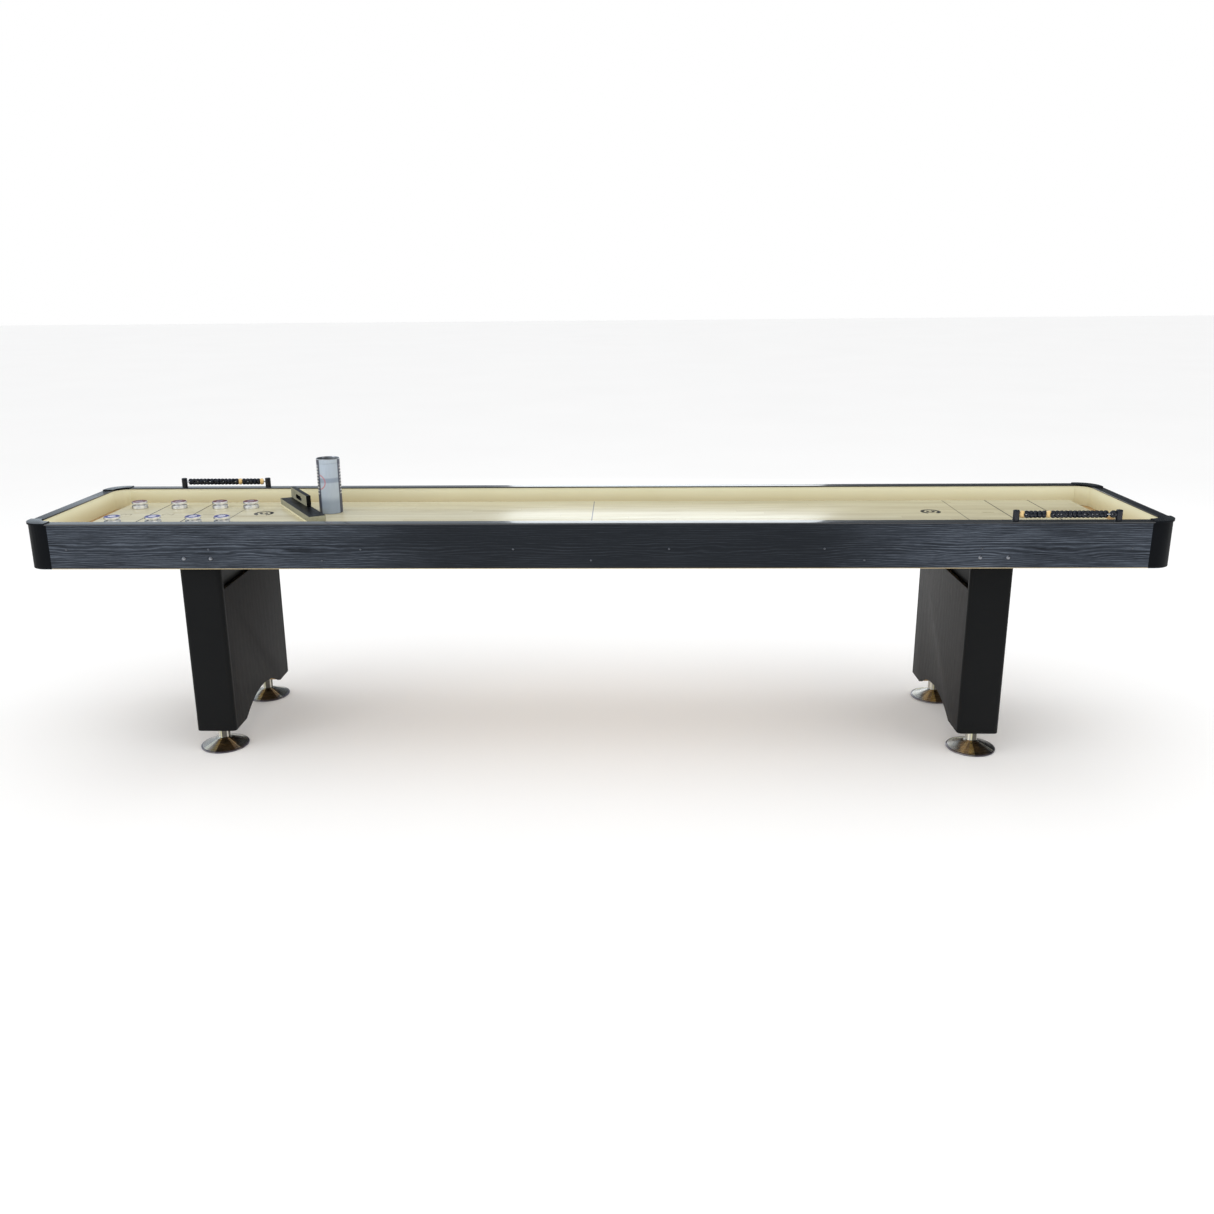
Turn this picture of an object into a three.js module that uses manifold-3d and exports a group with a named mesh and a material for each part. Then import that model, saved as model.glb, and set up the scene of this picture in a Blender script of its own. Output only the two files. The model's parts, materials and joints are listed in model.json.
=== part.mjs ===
// Twelve-foot shuffleboard table: a long cabinet with a maple playfield, two pedestal legs on cone feet,
// two bead scorers, eight pucks, a sweep and a can of powder. Millimetres, +Z up.
// Origin: on the floor, under the middle of the table. +X runs along the table, the front is at -Y.
import * as THREE from 'three';
import { mergeVertices } from 'three/addons/utils/BufferGeometryUtils.js';
import Module from 'manifold-3d';

// ---- driving dimensions ----
const TABLE_LENGTH = 3658;
const TABLE_WIDTH = 660;
const RAIL_TOP = 801;
const GAP = 0.3; // between pieces that touch

const CABINET_DEPTH = 149; // rail top down to the bottom edge of the aprons
const APRON_THICKNESS = 29;
const RAIL_THICKNESS = 4;
const RAIL_EDGE_RADIUS = 1.5;
const RAIL_OVERHANG = 2; // rail past the apron's outer face, and past the liner's inner face
const LINER_THICKNESS = 4;
const LINER_CLEARANCE = 1; // behind the liner

const CORNER_RADIUS = 64;
const CORNER_FLANGE = 20;
const CORNER_WALL = 12;
const CAP_TAIL = 14; // straight part of the cap past its curve
const CAP_PROUD = 2;
const CAP_RISE = 2.5;

const FLOOR_THICKNESS = 15;
const BEAM_HEIGHT = 46;
const BEAM_WIDTH = 42;
const BEAM_FROM_LEG = 414; // from a leg's middle to the outer cross beam's middle

const SIDE_GUTTER = 65.5; // liner to playfield
const END_GUTTER = 86;
const FIELD_THICKNESS = 32;
const FIELD_DROP = 42; // rail top down to the playing surface

const LEG_INSET = 554; // from the table's end to the leg's middle
const LEG_WIDTH = 134;
const LEG_BOTTOM = 77;
const LEG_SIDE_CLEARANCE = 1; // leg inside the aprons
const LEG_BOARD = 22;
const LEG_BOARD_RADIUS = 15;
const LEG_PANEL = 12;
const LEG_PANEL_DROP = 82; // apron's bottom edge down to the top of the side panels
const LEG_BEAM_SETBACK = 18;
const ARCH_HALF_SPAN = 187;
const ARCH_RISE = 55;

const FOOT_RADIUS = 80;
const FOOT_RIM = 5;
const FOOT_CONE_TOP = 33;
const FOOT_STEM_RADIUS = 19;
const FOOT_INSET = 65; // from the leg's front face to the foot's axis
const STUD_RADIUS = 8;
const STUD_LENGTH = 75;
const STUD_CLEARANCE = 0.4;
const FOOT_BLOCK_HEIGHT = 40;
const FOOT_BLOCK_DEPTH = 84;

const ROD_FREE_LENGTH = 296; // between the posts
const REAR_SCORER_INSET = 442; // from the left end to the rear scorer's middle
const FRONT_SCORER_INSET = 345; // from the right end to the front scorer's middle
const POST_RADIUS = 10;
const POST_HEIGHT = 34;
const ROD_RADIUS = 3;
const ROD_HEIGHT = 20.5;
const BEAD_RADIUS = 11.5;
const BEAD_BORE_CLEARANCE = 0.5;
const BEAD_LENGTH = 13.4; // along the rod
const BEAD_GROUP_GAP = 0.6;
const BEAD_SLACK = 10.8; // bare rod beside the bead that has been counted

const PUCK_RADIUS = 27;
const PUCK_HEIGHT = 25;
const PUCK_BASE_HEIGHT = 11;
const PUCK_CAP_HEIGHT = 8;
const PUCK_NECK_RADIUS = 17;
const REAR_LANE_INSET = 98.5; // playfield's edge to the row of pucks
const FRONT_LANE_INSET = 102.5;
const REAR_PUCKS = [65, 209, 358, 470]; // from the playfield's left end
const FRONT_PUCKS = [83, 222, 360, 458];

const SWEEP_ANGLE = 31.3; // degrees the sweep is turned from straight across
const SWEEP_FROM_END = 691.3; // playfield's left end to the sweep's middle
const SWEEP_OFFSET = 13.2; // the sweep's middle to the rear of the playfield's middle
const SWEEP_SHORTER = 77; // than the playfield is wide
const SWEEP_WIDTH = 56;
const SWEEP_THICKNESS = 28; // with its felt sole
const GRIP_LENGTH = 205;
const GRIP_FROM_END = 1; // of the sweep
const GRIP_HEIGHT = 37.5;
const GRIP_THICKNESS = 16;
const GRIP_SLOT_LENGTH = 75;
const GRIP_SLOT_HEIGHT = 15;
const GRIP_SLOT_RISE = 15;

const CAN_FROM_SWEEP = 29.3; // clear space between the sweep's base and the can
const CAN_ALONG_SWEEP = -16.8; // from the sweep's middle
const CAN_RADIUS = 40;
const CAN_HEIGHT = 192;
const CAN_LID_HEIGHT = 16;
const CAN_LID_WALL = 1.5;
const CAN_NECK_INSET = 4;
const CAN_NECK_HEIGHT = 10;
const CAN_LID_CLEARANCE = 0.8; // round the neck, so that the lid turns

// ---- sizes that follow from them ----
const HALF_LENGTH = TABLE_LENGTH / 2;
const HALF_WIDTH = TABLE_WIDTH / 2;
const RAIL_BOTTOM = RAIL_TOP - RAIL_THICKNESS;
const APRON_BOTTOM = RAIL_TOP - CABINET_DEPTH;
const APRON_TOP = RAIL_BOTTOM - GAP;
const FIELD_TOP = RAIL_TOP - FIELD_DROP;
const FIELD_BOTTOM = FIELD_TOP - FIELD_THICKNESS;
const FLOOR_TOP = FIELD_BOTTOM - GAP;
const FLOOR_BOTTOM = FLOOR_TOP - FLOOR_THICKNESS;
const UNDER_FLOOR = FLOOR_BOTTOM - GAP;
const APRON_INSET = RAIL_OVERHANG + APRON_THICKNESS; // table's side to the apron's inner face
const LINER_OUTER = APRON_INSET + LINER_CLEARANCE;
const LINER_INNER = LINER_OUTER + LINER_THICKNESS;
const RAIL_WIDTH = LINER_INNER + RAIL_OVERHANG;
const POST_REACH = RAIL_OVERHANG + CORNER_RADIUS + CORNER_FLANGE;
const CAP_REACH = RAIL_OVERHANG + CORNER_RADIUS + CAP_TAIL;
const FIELD_LENGTH = TABLE_LENGTH - 2 * (LINER_INNER + END_GUTTER);
const FIELD_WIDTH = TABLE_WIDTH - 2 * (LINER_INNER + SIDE_GUTTER);
const LEG_X = HALF_LENGTH - LEG_INSET;
const LEG_PANEL_TOP = APRON_BOTTOM - LEG_PANEL_DROP;
const LEG_HALF_DEPTH = HALF_WIDTH - APRON_INSET - LEG_SIDE_CLEARANCE;
const ON_FIELD = FIELD_TOP + GAP;
const ROD_Z = RAIL_TOP + GAP + ROD_HEIGHT;
const SCORER_Y = HALF_WIDTH - RAIL_WIDTH / 2;
const SCORER_SPAN = ROD_FREE_LENGTH + 2 * POST_RADIUS;
const SWEEP_LENGTH = FIELD_WIDTH - SWEEP_SHORTER;

// ---- finishes ----
const finish = (color, roughness, metalness = 0) =>
  new THREE.MeshStandardMaterial({ color, roughness, metalness });
const FINISHES = {
  laminate: finish(0x2b3138, 0.45),
  rail: finish(0x1c1f24, 0.35),
  casting: finish(0x1c2026, 0.35),
  liner: finish(0xe2dcb4, 0.4),
  plywood: finish(0xb79a6a, 0.7),
  maple: finish(0xc9b58c, 0.15),
  legBlack: finish(0x1e2022, 0.5),
  legGrain: finish(0x2c2c2e, 0.55),
  nickel: finish(0xb5ab93, 0.25, 1),
  chrome: finish(0xdfe2e6, 0.1, 1),
  blackPlastic: finish(0x15181b, 0.3),
  beech: finish(0xd8ac6a, 0.4),
  sweepBoard: finish(0x26282a, 0.5),
  label: finish(0x8fa0ae, 0.4),
};

// ---- geometry helpers ----
const wasm = await Module();
wasm.setup();

function toSolid(geometry) {
  const plain = geometry.clone();
  for (const name of Object.keys(plain.attributes)) {
    if (name !== 'position') plain.deleteAttribute(name);
  }
  const merged = mergeVertices(plain, 1e-4);
  const mesh = new wasm.Mesh({
    numProp: 3,
    vertProperties: new Float32Array(merged.attributes.position.array),
    triVerts: new Uint32Array(merged.index.array),
  });
  return new wasm.Manifold(mesh);
}

function fromSolid(solid) {
  const mesh = solid.getMesh();
  const geometry = new THREE.BufferGeometry();
  geometry.setAttribute('position', new THREE.BufferAttribute(mesh.vertProperties, 3));
  geometry.setIndex(new THREE.BufferAttribute(mesh.triVerts, 1));
  geometry.computeVertexNormals();
  return geometry;
}

const join = (...parts) => fromSolid(parts.map(toSolid).reduce((sum, next) => sum.add(next)));
const cut = (body, tool) => fromSolid(toSolid(body).subtract(toSolid(tool)));

// A box between two corners.
function block([x0, x1], [y0, y1], [z0, z1]) {
  const geometry = new THREE.BoxGeometry(x1 - x0, y1 - y0, z1 - z0);
  return geometry.translate((x0 + x1) / 2, (y0 + y1) / 2, (z0 + z1) / 2);
}

// A plan outline raised from z0 to z1.
function raise(shape, z0, z1, curveSegments = 8) {
  const geometry = new THREE.ExtrudeGeometry(shape, { depth: z1 - z0, bevelEnabled: false, curveSegments });
  return geometry.translate(0, 0, z0);
}

// A [radius, height] profile turned about +Z.
function turn(profile, segments) {
  const points = profile.map(([radius, height]) => new THREE.Vector2(radius, height));
  return new THREE.LatheGeometry(points, segments).rotateX(Math.PI / 2);
}

const group = new THREE.Group();

function add(name, geometry, material, parent = group) {
  const mesh = new THREE.Mesh(geometry, FINISHES[material]);
  mesh.name = name;
  parent.add(mesh);
  return mesh;
}

// Two distances outwards from the middle, as a low-to-high pair on the side that sign names.
const outwards = (sign, near, far) => (sign > 0 ? [near, far] : [-far, -near]);

const SIDES = [['front', -1], ['rear', 1]];
const ENDS = [['left', -1], ['right', 1]];
const CORNERS = [
  ['rear_right', 1, 1], ['rear_left', -1, 1], ['front_left', -1, -1], ['front_right', 1, -1],
];

// ---- cabinet ----
function addAprons() {
  const z = [APRON_BOTTOM, APRON_TOP];
  const endX = HALF_LENGTH - POST_REACH - GAP;
  const endY = HALF_WIDTH - POST_REACH - GAP;
  for (const [side, sign] of SIDES) {
    const y = outwards(sign, HALF_WIDTH - APRON_INSET, HALF_WIDTH - RAIL_OVERHANG);
    add(`${side}_apron`, block([-endX, endX], y, z), 'laminate');
  }
  for (const [end, sign] of ENDS) {
    const x = outwards(sign, HALF_LENGTH - APRON_INSET, HALF_LENGTH - RAIL_OVERHANG);
    add(`${end}_apron`, block(x, [-endY, endY], z), 'laminate');
  }
}

// The rail's section, with rounded top edges: x across the rail, y up.
function railSection() {
  const half = RAIL_WIDTH / 2;
  const radius = RAIL_EDGE_RADIUS;
  const shape = new THREE.Shape();
  shape.moveTo(-half, 0);
  shape.lineTo(half, 0);
  shape.lineTo(half, RAIL_THICKNESS - radius);
  shape.absarc(half - radius, RAIL_THICKNESS - radius, radius, 0, Math.PI / 2, false);
  shape.absarc(-half + radius, RAIL_THICKNESS - radius, radius, Math.PI / 2, Math.PI, false);
  shape.closePath();
  return shape;
}

function addRails() {
  const inset = RAIL_WIDTH / 2;
  const alongX = 2 * (HALF_LENGTH - CAP_REACH - GAP);
  const alongY = 2 * (HALF_WIDTH - CAP_REACH - GAP);
  const lengthwise = (length) => raise(railSection(), -length / 2, length / 2, 4).rotateX(Math.PI / 2);
  for (const [side, sign] of SIDES) {
    const rail = add(`${side}_rail`, lengthwise(alongX).rotateZ(Math.PI / 2), 'rail');
    rail.position.set(0, sign * (HALF_WIDTH - inset), RAIL_BOTTOM);
  }
  for (const [end, sign] of ENDS) {
    const rail = add(`${end}_rail`, lengthwise(alongY), 'rail');
    rail.position.set(sign * (HALF_LENGTH - inset), 0, RAIL_BOTTOM);
  }
}

// An L-shaped strip round a corner whose outside meets the origin: its edges lie at -inset0 and -inset1,
// and their curves' centres at -centre0 and -centre1.
function cornerStrip(inset0, inset1, reach, centre0, centre1 = centre0) {
  const shape = new THREE.Shape();
  shape.moveTo(-reach, -inset0);
  shape.lineTo(-reach, -inset1);
  shape.absarc(-centre1, -centre1, centre1 - inset1, Math.PI / 2, 0, true);
  shape.lineTo(-inset1, -reach);
  shape.lineTo(-inset0, -reach);
  shape.absarc(-centre0, -centre0, centre0 - inset0, 0, Math.PI / 2, false);
  shape.closePath();
  return shape;
}

function addCornerCastings() {
  const centre = RAIL_OVERHANG + CORNER_RADIUS;
  const wall = (reach) => cornerStrip(RAIL_OVERHANG, RAIL_OVERHANG + CORNER_WALL, reach, centre);
  const cap = cornerStrip(-CAP_PROUD, RAIL_WIDTH, CAP_REACH, centre, CAP_REACH - GAP);
  const casting = join(
    raise(wall(POST_REACH), APRON_BOTTOM, APRON_TOP),
    raise(wall(CAP_REACH), APRON_TOP - 1, RAIL_BOTTOM + 1),
    raise(cap, RAIL_BOTTOM, RAIL_TOP + CAP_RISE),
  );
  CORNERS.forEach(([corner, signX, signY], quarter) => {
    const mesh = add(`${corner}_corner_casting`, casting.clone(), 'casting');
    mesh.position.set(signX * HALF_LENGTH, signY * HALF_WIDTH, 0);
    mesh.rotation.z = quarter * Math.PI / 2;
  });
}

// The end liner is one bent sheet: across the end, round both corners, ending where the side liners start.
function endLinerPlan() {
  const shape = new THREE.Shape();
  const x = HALF_LENGTH;
  const y = HALF_WIDTH;
  const centreX = x - CAP_REACH;
  const centreY = y - CAP_REACH;
  shape.moveTo(centreX, -y + LINER_OUTER);
  shape.absarc(centreX, -centreY, CAP_REACH - LINER_OUTER, -Math.PI / 2, 0, false);
  shape.absarc(centreX, centreY, CAP_REACH - LINER_OUTER, 0, Math.PI / 2, false);
  shape.lineTo(centreX, y - LINER_INNER);
  shape.absarc(centreX, centreY, CAP_REACH - LINER_INNER, Math.PI / 2, 0, true);
  shape.absarc(centreX, -centreY, CAP_REACH - LINER_INNER, 0, -Math.PI / 2, true);
  shape.closePath();
  return shape;
}

function addLiners() {
  const z = [FIELD_BOTTOM, APRON_TOP];
  const endX = HALF_LENGTH - CAP_REACH - GAP;
  for (const [side, sign] of SIDES) {
    const y = outwards(sign, HALF_WIDTH - LINER_INNER, HALF_WIDTH - LINER_OUTER);
    add(`${side}_liner`, block([-endX, endX], y, z), 'liner');
  }
  ENDS.forEach(([end, sign]) => {
    const mesh = add(`${end}_liner`, raise(endLinerPlan(), ...z, 6), 'liner');
    mesh.rotation.z = sign < 0 ? Math.PI : 0;
  });
}

// A rectangle about the middle with rounded corners.
function roundedPlan(halfX, halfY, radius) {
  const shape = new THREE.Shape();
  const corners = [[1, 1], [-1, 1], [-1, -1], [1, -1]];
  corners.forEach(([signX, signY], quarter) => {
    const start = quarter * Math.PI / 2;
    const x = signX * (halfX - radius);
    const y = signY * (halfY - radius);
    shape.absarc(x, y, radius, start, start + Math.PI / 2, false);
  });
  shape.closePath();
  return shape;
}

function addInside() {
  const halfX = HALF_LENGTH - APRON_INSET - GAP;
  const halfY = HALF_WIDTH - APRON_INSET - GAP;
  const cornerRadius = RAIL_OVERHANG + CORNER_RADIUS - APRON_INSET - GAP; // shares the casting's centre
  const plan = roundedPlan(halfX, halfY, cornerRadius);
  add('cabinet_floor', raise(plan, FLOOR_BOTTOM, FLOOR_TOP, 4), 'plywood');
  const names = ['left_cross_beam', 'middle_cross_beam', 'right_cross_beam'];
  names.forEach((name, i) => {
    const x = (i - 1) * (LEG_X - BEAM_FROM_LEG);
    const width = [x - BEAM_WIDTH / 2, x + BEAM_WIDTH / 2];
    add(name, block(width, [-halfY, halfY], [UNDER_FLOOR - BEAM_HEIGHT, UNDER_FLOOR]), 'plywood');
  });
  const field = [[-FIELD_LENGTH / 2, FIELD_LENGTH / 2], [-FIELD_WIDTH / 2, FIELD_WIDTH / 2]];
  add('playfield', block(...field, [FIELD_BOTTOM, FIELD_TOP]), 'maple');
}

// ---- legs ----
// Plan of a leg's front board: outer vertical edges rounded, back edge flat.
function legBoardPlan() {
  const half = LEG_WIDTH / 2;
  const radius = LEG_BOARD_RADIUS;
  const shape = new THREE.Shape();
  shape.moveTo(half, LEG_BOARD);
  shape.lineTo(-half, LEG_BOARD);
  shape.absarc(-half + radius, radius, radius, Math.PI, 1.5 * Math.PI, false);
  shape.absarc(half - radius, radius, radius, 1.5 * Math.PI, 2 * Math.PI, false);
  shape.closePath();
  return shape;
}

// Side panel seen from its face: x across the table, y up, an arc cut out of the bottom edge.
function legPanelFace() {
  const half = LEG_HALF_DEPTH - LEG_BOARD - GAP;
  const radius = (ARCH_HALF_SPAN ** 2 + ARCH_RISE ** 2) / (2 * ARCH_RISE);
  const sweep = Math.asin(ARCH_HALF_SPAN / radius);
  const shape = new THREE.Shape();
  shape.moveTo(half, LEG_BOTTOM);
  shape.lineTo(half, LEG_PANEL_TOP);
  shape.lineTo(-half, LEG_PANEL_TOP);
  shape.lineTo(-half, LEG_BOTTOM);
  shape.lineTo(-ARCH_HALF_SPAN, LEG_BOTTOM);
  const centre = LEG_BOTTOM + ARCH_RISE - radius;
  shape.absarc(0, centre, radius, Math.PI / 2 + sweep, Math.PI / 2 - sweep, true);
  shape.closePath();
  return shape;
}

function addLeg(end, sign) {
  const leg = new THREE.Group();
  leg.position.x = sign * LEG_X;
  group.add(leg);
  for (const [side, out] of SIDES) {
    const upright = raise(legBoardPlan(), LEG_BOTTOM, UNDER_FLOOR, 5);
    const board = add(`${end}_leg_${side}_board`, upright, 'legBlack', leg);
    board.position.y = out * LEG_HALF_DEPTH;
    board.rotation.z = out > 0 ? Math.PI : 0;
  }
  const panel = raise(legPanelFace(), 0, LEG_PANEL, 14).rotateX(Math.PI / 2).rotateZ(Math.PI / 2);
  const faces = [['inner', -sign], ['outer', sign]];
  for (const [face, way] of faces) {
    const mesh = add(`${end}_leg_${face}_panel`, panel.clone(), 'legGrain', leg);
    mesh.position.x = way > 0 ? LEG_WIDTH / 2 - LEG_PANEL : -LEG_WIDTH / 2;
  }
  const insideY = LEG_HALF_DEPTH - LEG_BOARD - GAP;
  const beamX = LEG_WIDTH / 2 - LEG_BEAM_SETBACK;
  const beamZ = [LEG_PANEL_TOP - LEG_BEAM_SETBACK, UNDER_FLOOR];
  const beam = block([-beamX, beamX], [-insideY, insideY], beamZ);
  add(`${end}_leg_top_beam`, beam, 'legBlack', leg);
  for (const [side, out] of SIDES) addFoot(`${side}_${end}`, out, leg);
}

// Cone foot on a stud, and the block inside the leg that the stud screws into.
function addFoot(place, out, leg) {
  const stemTop = LEG_BOTTOM - GAP;
  const profile = [
    [0, 0], [FOOT_RADIUS - 2, 0], [FOOT_RADIUS, 2], [FOOT_RADIUS, FOOT_RIM],
    [FOOT_STEM_RADIUS, FOOT_CONE_TOP], [FOOT_STEM_RADIUS, stemTop], [STUD_RADIUS, stemTop],
    [STUD_RADIUS, stemTop + STUD_LENGTH], [0, stemTop + STUD_LENGTH],
  ];
  const y = out * (LEG_HALF_DEPTH - FOOT_INSET);
  add(`${place}_foot`, turn(profile, 28), 'nickel', leg).position.y = y;
  const halfX = LEG_WIDTH / 2 - LEG_PANEL - GAP;
  const outer = LEG_HALF_DEPTH - LEG_BOARD - GAP;
  const acrossY = outwards(out, outer - FOOT_BLOCK_DEPTH, outer);
  const body = block([-halfX, halfX], acrossY, [LEG_BOTTOM, LEG_BOTTOM + FOOT_BLOCK_HEIGHT]);
  const boreRadius = STUD_RADIUS + STUD_CLEARANCE;
  const bore = new THREE.CylinderGeometry(boreRadius, boreRadius, 3 * FOOT_BLOCK_HEIGHT, 24);
  bore.rotateX(Math.PI / 2).translate(0, y, LEG_BOTTOM);
  add(`${place}_foot_block`, cut(body, bore), 'plywood', leg);
}

// ---- scorers ----
// A run of beads as one turned string, bored for the rod and grooved between beads, starting at x = 0.
function beadString(count) {
  const bore = ROD_RADIUS + BEAD_BORE_CLEARANCE;
  const waist = BEAD_RADIUS * 0.72;
  const length = count * BEAD_LENGTH;
  const profile = [];
  for (let bead = 0; bead < count; bead += 1) {
    const x = bead * BEAD_LENGTH;
    profile.push([waist, x], [BEAD_RADIUS, x + BEAD_LENGTH / 2]);
  }
  profile.push([waist, length], [bore, length], [bore, 0], [waist, 0]);
  return turn(profile, 12).rotateY(Math.PI / 2);
}

function addScorer(place, x, y, strings) {
  const scorer = new THREE.Group();
  scorer.position.set(x, y, 0);
  group.add(scorer);
  const base = RAIL_TOP + GAP;
  const dome = POST_RADIUS * 0.35;
  const profile = [
    [0, base], [POST_RADIUS, base], [POST_RADIUS, base + POST_HEIGHT - dome],
    [POST_RADIUS - dome, base + POST_HEIGHT], [0, base + POST_HEIGHT],
  ];
  const post = turn(profile, 16);
  const rod = new THREE.CylinderGeometry(ROD_RADIUS, ROD_RADIUS, SCORER_SPAN, 12).rotateZ(Math.PI / 2);
  const rack = join(
    post.clone().translate(-SCORER_SPAN / 2, 0, 0),
    post.clone().translate(SCORER_SPAN / 2, 0, 0),
    rod.translate(0, 0, ROD_Z),
  );
  add(`${place}_scorer_rack`, rack, 'blackPlastic', scorer);
  const room = ROD_FREE_LENGTH;
  const before = (string) => string.before ?? BEAD_GROUP_GAP;
  const used = strings.reduce((sum, string) => sum + before(string) + string.count * BEAD_LENGTH, 0);
  let at = -room / 2 + (room - used) / 2;
  for (const string of strings) {
    at += before(string);
    const mesh = add(`${place}_${string.name}`, beadString(string.count), string.finish, scorer);
    mesh.position.set(at, 0, ROD_Z);
    at += string.count * BEAD_LENGTH;
  }
}

// ---- loose kit on the playfield ----
function addPucks() {
  const base = PUCK_BASE_HEIGHT;
  const capFrom = PUCK_HEIGHT - PUCK_CAP_HEIGHT;
  const profile = [
    [0, 0], [PUCK_RADIUS, 0], [PUCK_RADIUS, base], [PUCK_NECK_RADIUS, base], [PUCK_NECK_RADIUS, capFrom],
    [PUCK_RADIUS - 1, capFrom], [PUCK_RADIUS - 1, PUCK_HEIGHT], [0, PUCK_HEIGHT],
  ];
  const rows = [
    ['red', REAR_PUCKS, FIELD_WIDTH / 2 - REAR_LANE_INSET],
    ['blue', FRONT_PUCKS, FRONT_LANE_INSET - FIELD_WIDTH / 2],
  ];
  for (const [colour, places, y] of rows) {
    places.forEach((fromEnd, i) => {
      const puck = add(`${colour}_puck_${i + 1}`, turn(profile, 16), 'chrome');
      puck.position.set(fromEnd - FIELD_LENGTH / 2, y, ON_FIELD);
    });
  }
}

// The sweep lies askew with the can beside it: both are placed in the sweep's own turned group.
function addSweepAndCan() {
  const sweep = new THREE.Group();
  sweep.position.set(SWEEP_FROM_END - FIELD_LENGTH / 2, SWEEP_OFFSET, ON_FIELD);
  sweep.rotation.z = THREE.MathUtils.degToRad(SWEEP_ANGLE);
  group.add(sweep);
  const halfX = SWEEP_WIDTH / 2;
  const halfY = SWEEP_LENGTH / 2;
  add('sweep_base', block([-halfX, halfX], [-halfY, halfY], [0, SWEEP_THICKNESS]), 'sweepBoard', sweep);
  const bottom = SWEEP_THICKNESS + GAP;
  const gripX = [halfX - GRIP_THICKNESS, halfX]; // flush with the edge towards the can
  const middle = halfY - GRIP_FROM_END - GRIP_LENGTH / 2;
  const gripY = [middle - GRIP_LENGTH / 2, middle + GRIP_LENGTH / 2];
  const grip = block(gripX, gripY, [bottom, bottom + GRIP_HEIGHT]);
  const slotY = [middle - GRIP_SLOT_LENGTH / 2, middle + GRIP_SLOT_LENGTH / 2];
  const slotBottom = bottom + GRIP_SLOT_RISE - GRIP_SLOT_HEIGHT / 2;
  const slotZ = [slotBottom, slotBottom + GRIP_SLOT_HEIGHT];
  add('sweep_grip', cut(grip, block([-SWEEP_WIDTH, SWEEP_WIDTH], slotY, slotZ)), 'sweepBoard', sweep);
  addCan(sweep);
}

function addCan(sweep) {
  const can = new THREE.Group();
  can.position.set(SWEEP_WIDTH / 2 + CAN_FROM_SWEEP + CAN_RADIUS, CAN_ALONG_SWEEP, 0);
  sweep.add(can);
  const shoulder = CAN_HEIGHT - CAN_LID_HEIGHT - GAP;
  const neck = CAN_RADIUS - CAN_NECK_INSET;
  const neckTop = shoulder + CAN_NECK_HEIGHT;
  const body = [
    [0, 0], [CAN_RADIUS, 0], [CAN_RADIUS, shoulder], [neck, shoulder], [neck, neckTop], [0, neckTop],
  ];
  add('powder_can', turn(body, 24), 'label', can);
  const inner = neck + CAN_LID_CLEARANCE;
  const lid = [
    [inner, shoulder + GAP], [CAN_RADIUS, shoulder + GAP], [CAN_RADIUS, CAN_HEIGHT - CAN_LID_WALL],
    [CAN_RADIUS - CAN_LID_WALL, CAN_HEIGHT], [0, CAN_HEIGHT], [0, neckTop + GAP], [inner, neckTop + GAP],
    [inner, shoulder + GAP],
  ];
  add('powder_can_lid', turn(lid, 24), 'blackPlastic', can);
}

addAprons();
addRails();
addCornerCastings();
addLiners();
addInside();
for (const [end, sign] of ENDS) addLeg(end, sign);
addScorer('rear', REAR_SCORER_INSET - HALF_LENGTH, SCORER_Y, [
  { name: 'beads_1_to_14', count: 14, finish: 'blackPlastic' },
  { name: 'bead_15', count: 1, finish: 'beech' },
  { name: 'beads_16_to_21', count: 6, finish: 'blackPlastic' },
]);
addScorer('front', HALF_LENGTH - FRONT_SCORER_INSET, -SCORER_Y, [
  { name: 'beads_16_to_21', count: 6, finish: 'blackPlastic' },
  { name: 'bead_15', count: 1, finish: 'beech' },
  { name: 'beads_2_to_14', count: 13, finish: 'blackPlastic' },
  { name: 'bead_1', count: 1, finish: 'blackPlastic', before: BEAD_SLACK },
]);
addPucks();
addSweepAndCan();

export default group;
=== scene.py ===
"""Shuffleboard table: the finished look of every part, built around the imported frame.

Metres, +Z up, +X along the table to the right, the long front side facing -Y.
"""
import json
import math
import random

import bmesh
import bpy
from mathutils import Matrix, Vector


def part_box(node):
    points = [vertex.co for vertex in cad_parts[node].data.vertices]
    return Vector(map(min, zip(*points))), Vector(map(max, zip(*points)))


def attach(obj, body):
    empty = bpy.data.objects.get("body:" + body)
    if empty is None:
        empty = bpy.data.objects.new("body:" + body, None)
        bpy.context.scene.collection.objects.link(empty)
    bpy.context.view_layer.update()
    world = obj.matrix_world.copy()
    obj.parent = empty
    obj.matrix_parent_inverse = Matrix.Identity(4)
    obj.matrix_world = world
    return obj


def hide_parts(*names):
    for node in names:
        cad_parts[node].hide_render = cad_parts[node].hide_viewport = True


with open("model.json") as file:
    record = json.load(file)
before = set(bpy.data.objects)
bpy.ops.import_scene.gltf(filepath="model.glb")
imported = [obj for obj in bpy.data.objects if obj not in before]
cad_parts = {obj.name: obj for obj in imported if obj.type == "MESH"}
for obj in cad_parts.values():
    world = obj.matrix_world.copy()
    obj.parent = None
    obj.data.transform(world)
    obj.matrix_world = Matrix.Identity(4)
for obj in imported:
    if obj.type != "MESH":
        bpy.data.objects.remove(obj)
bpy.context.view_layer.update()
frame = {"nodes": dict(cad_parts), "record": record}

MM = 0.001
QUARTER = math.pi / 2
scene = bpy.context.scene
BODY_OF = {n: body for body, ns in frame["record"]["behaviour"]["bodies"].items() for n in ns}


# ---- camera, floor and light ----
VIEW_FROM = Vector((0.1121, -3.6410, 1.5369))
VIEW_PITCH, VIEW_YAW, VIEW_ROLL = 0.26899, 0.03307, -0.00965


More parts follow.
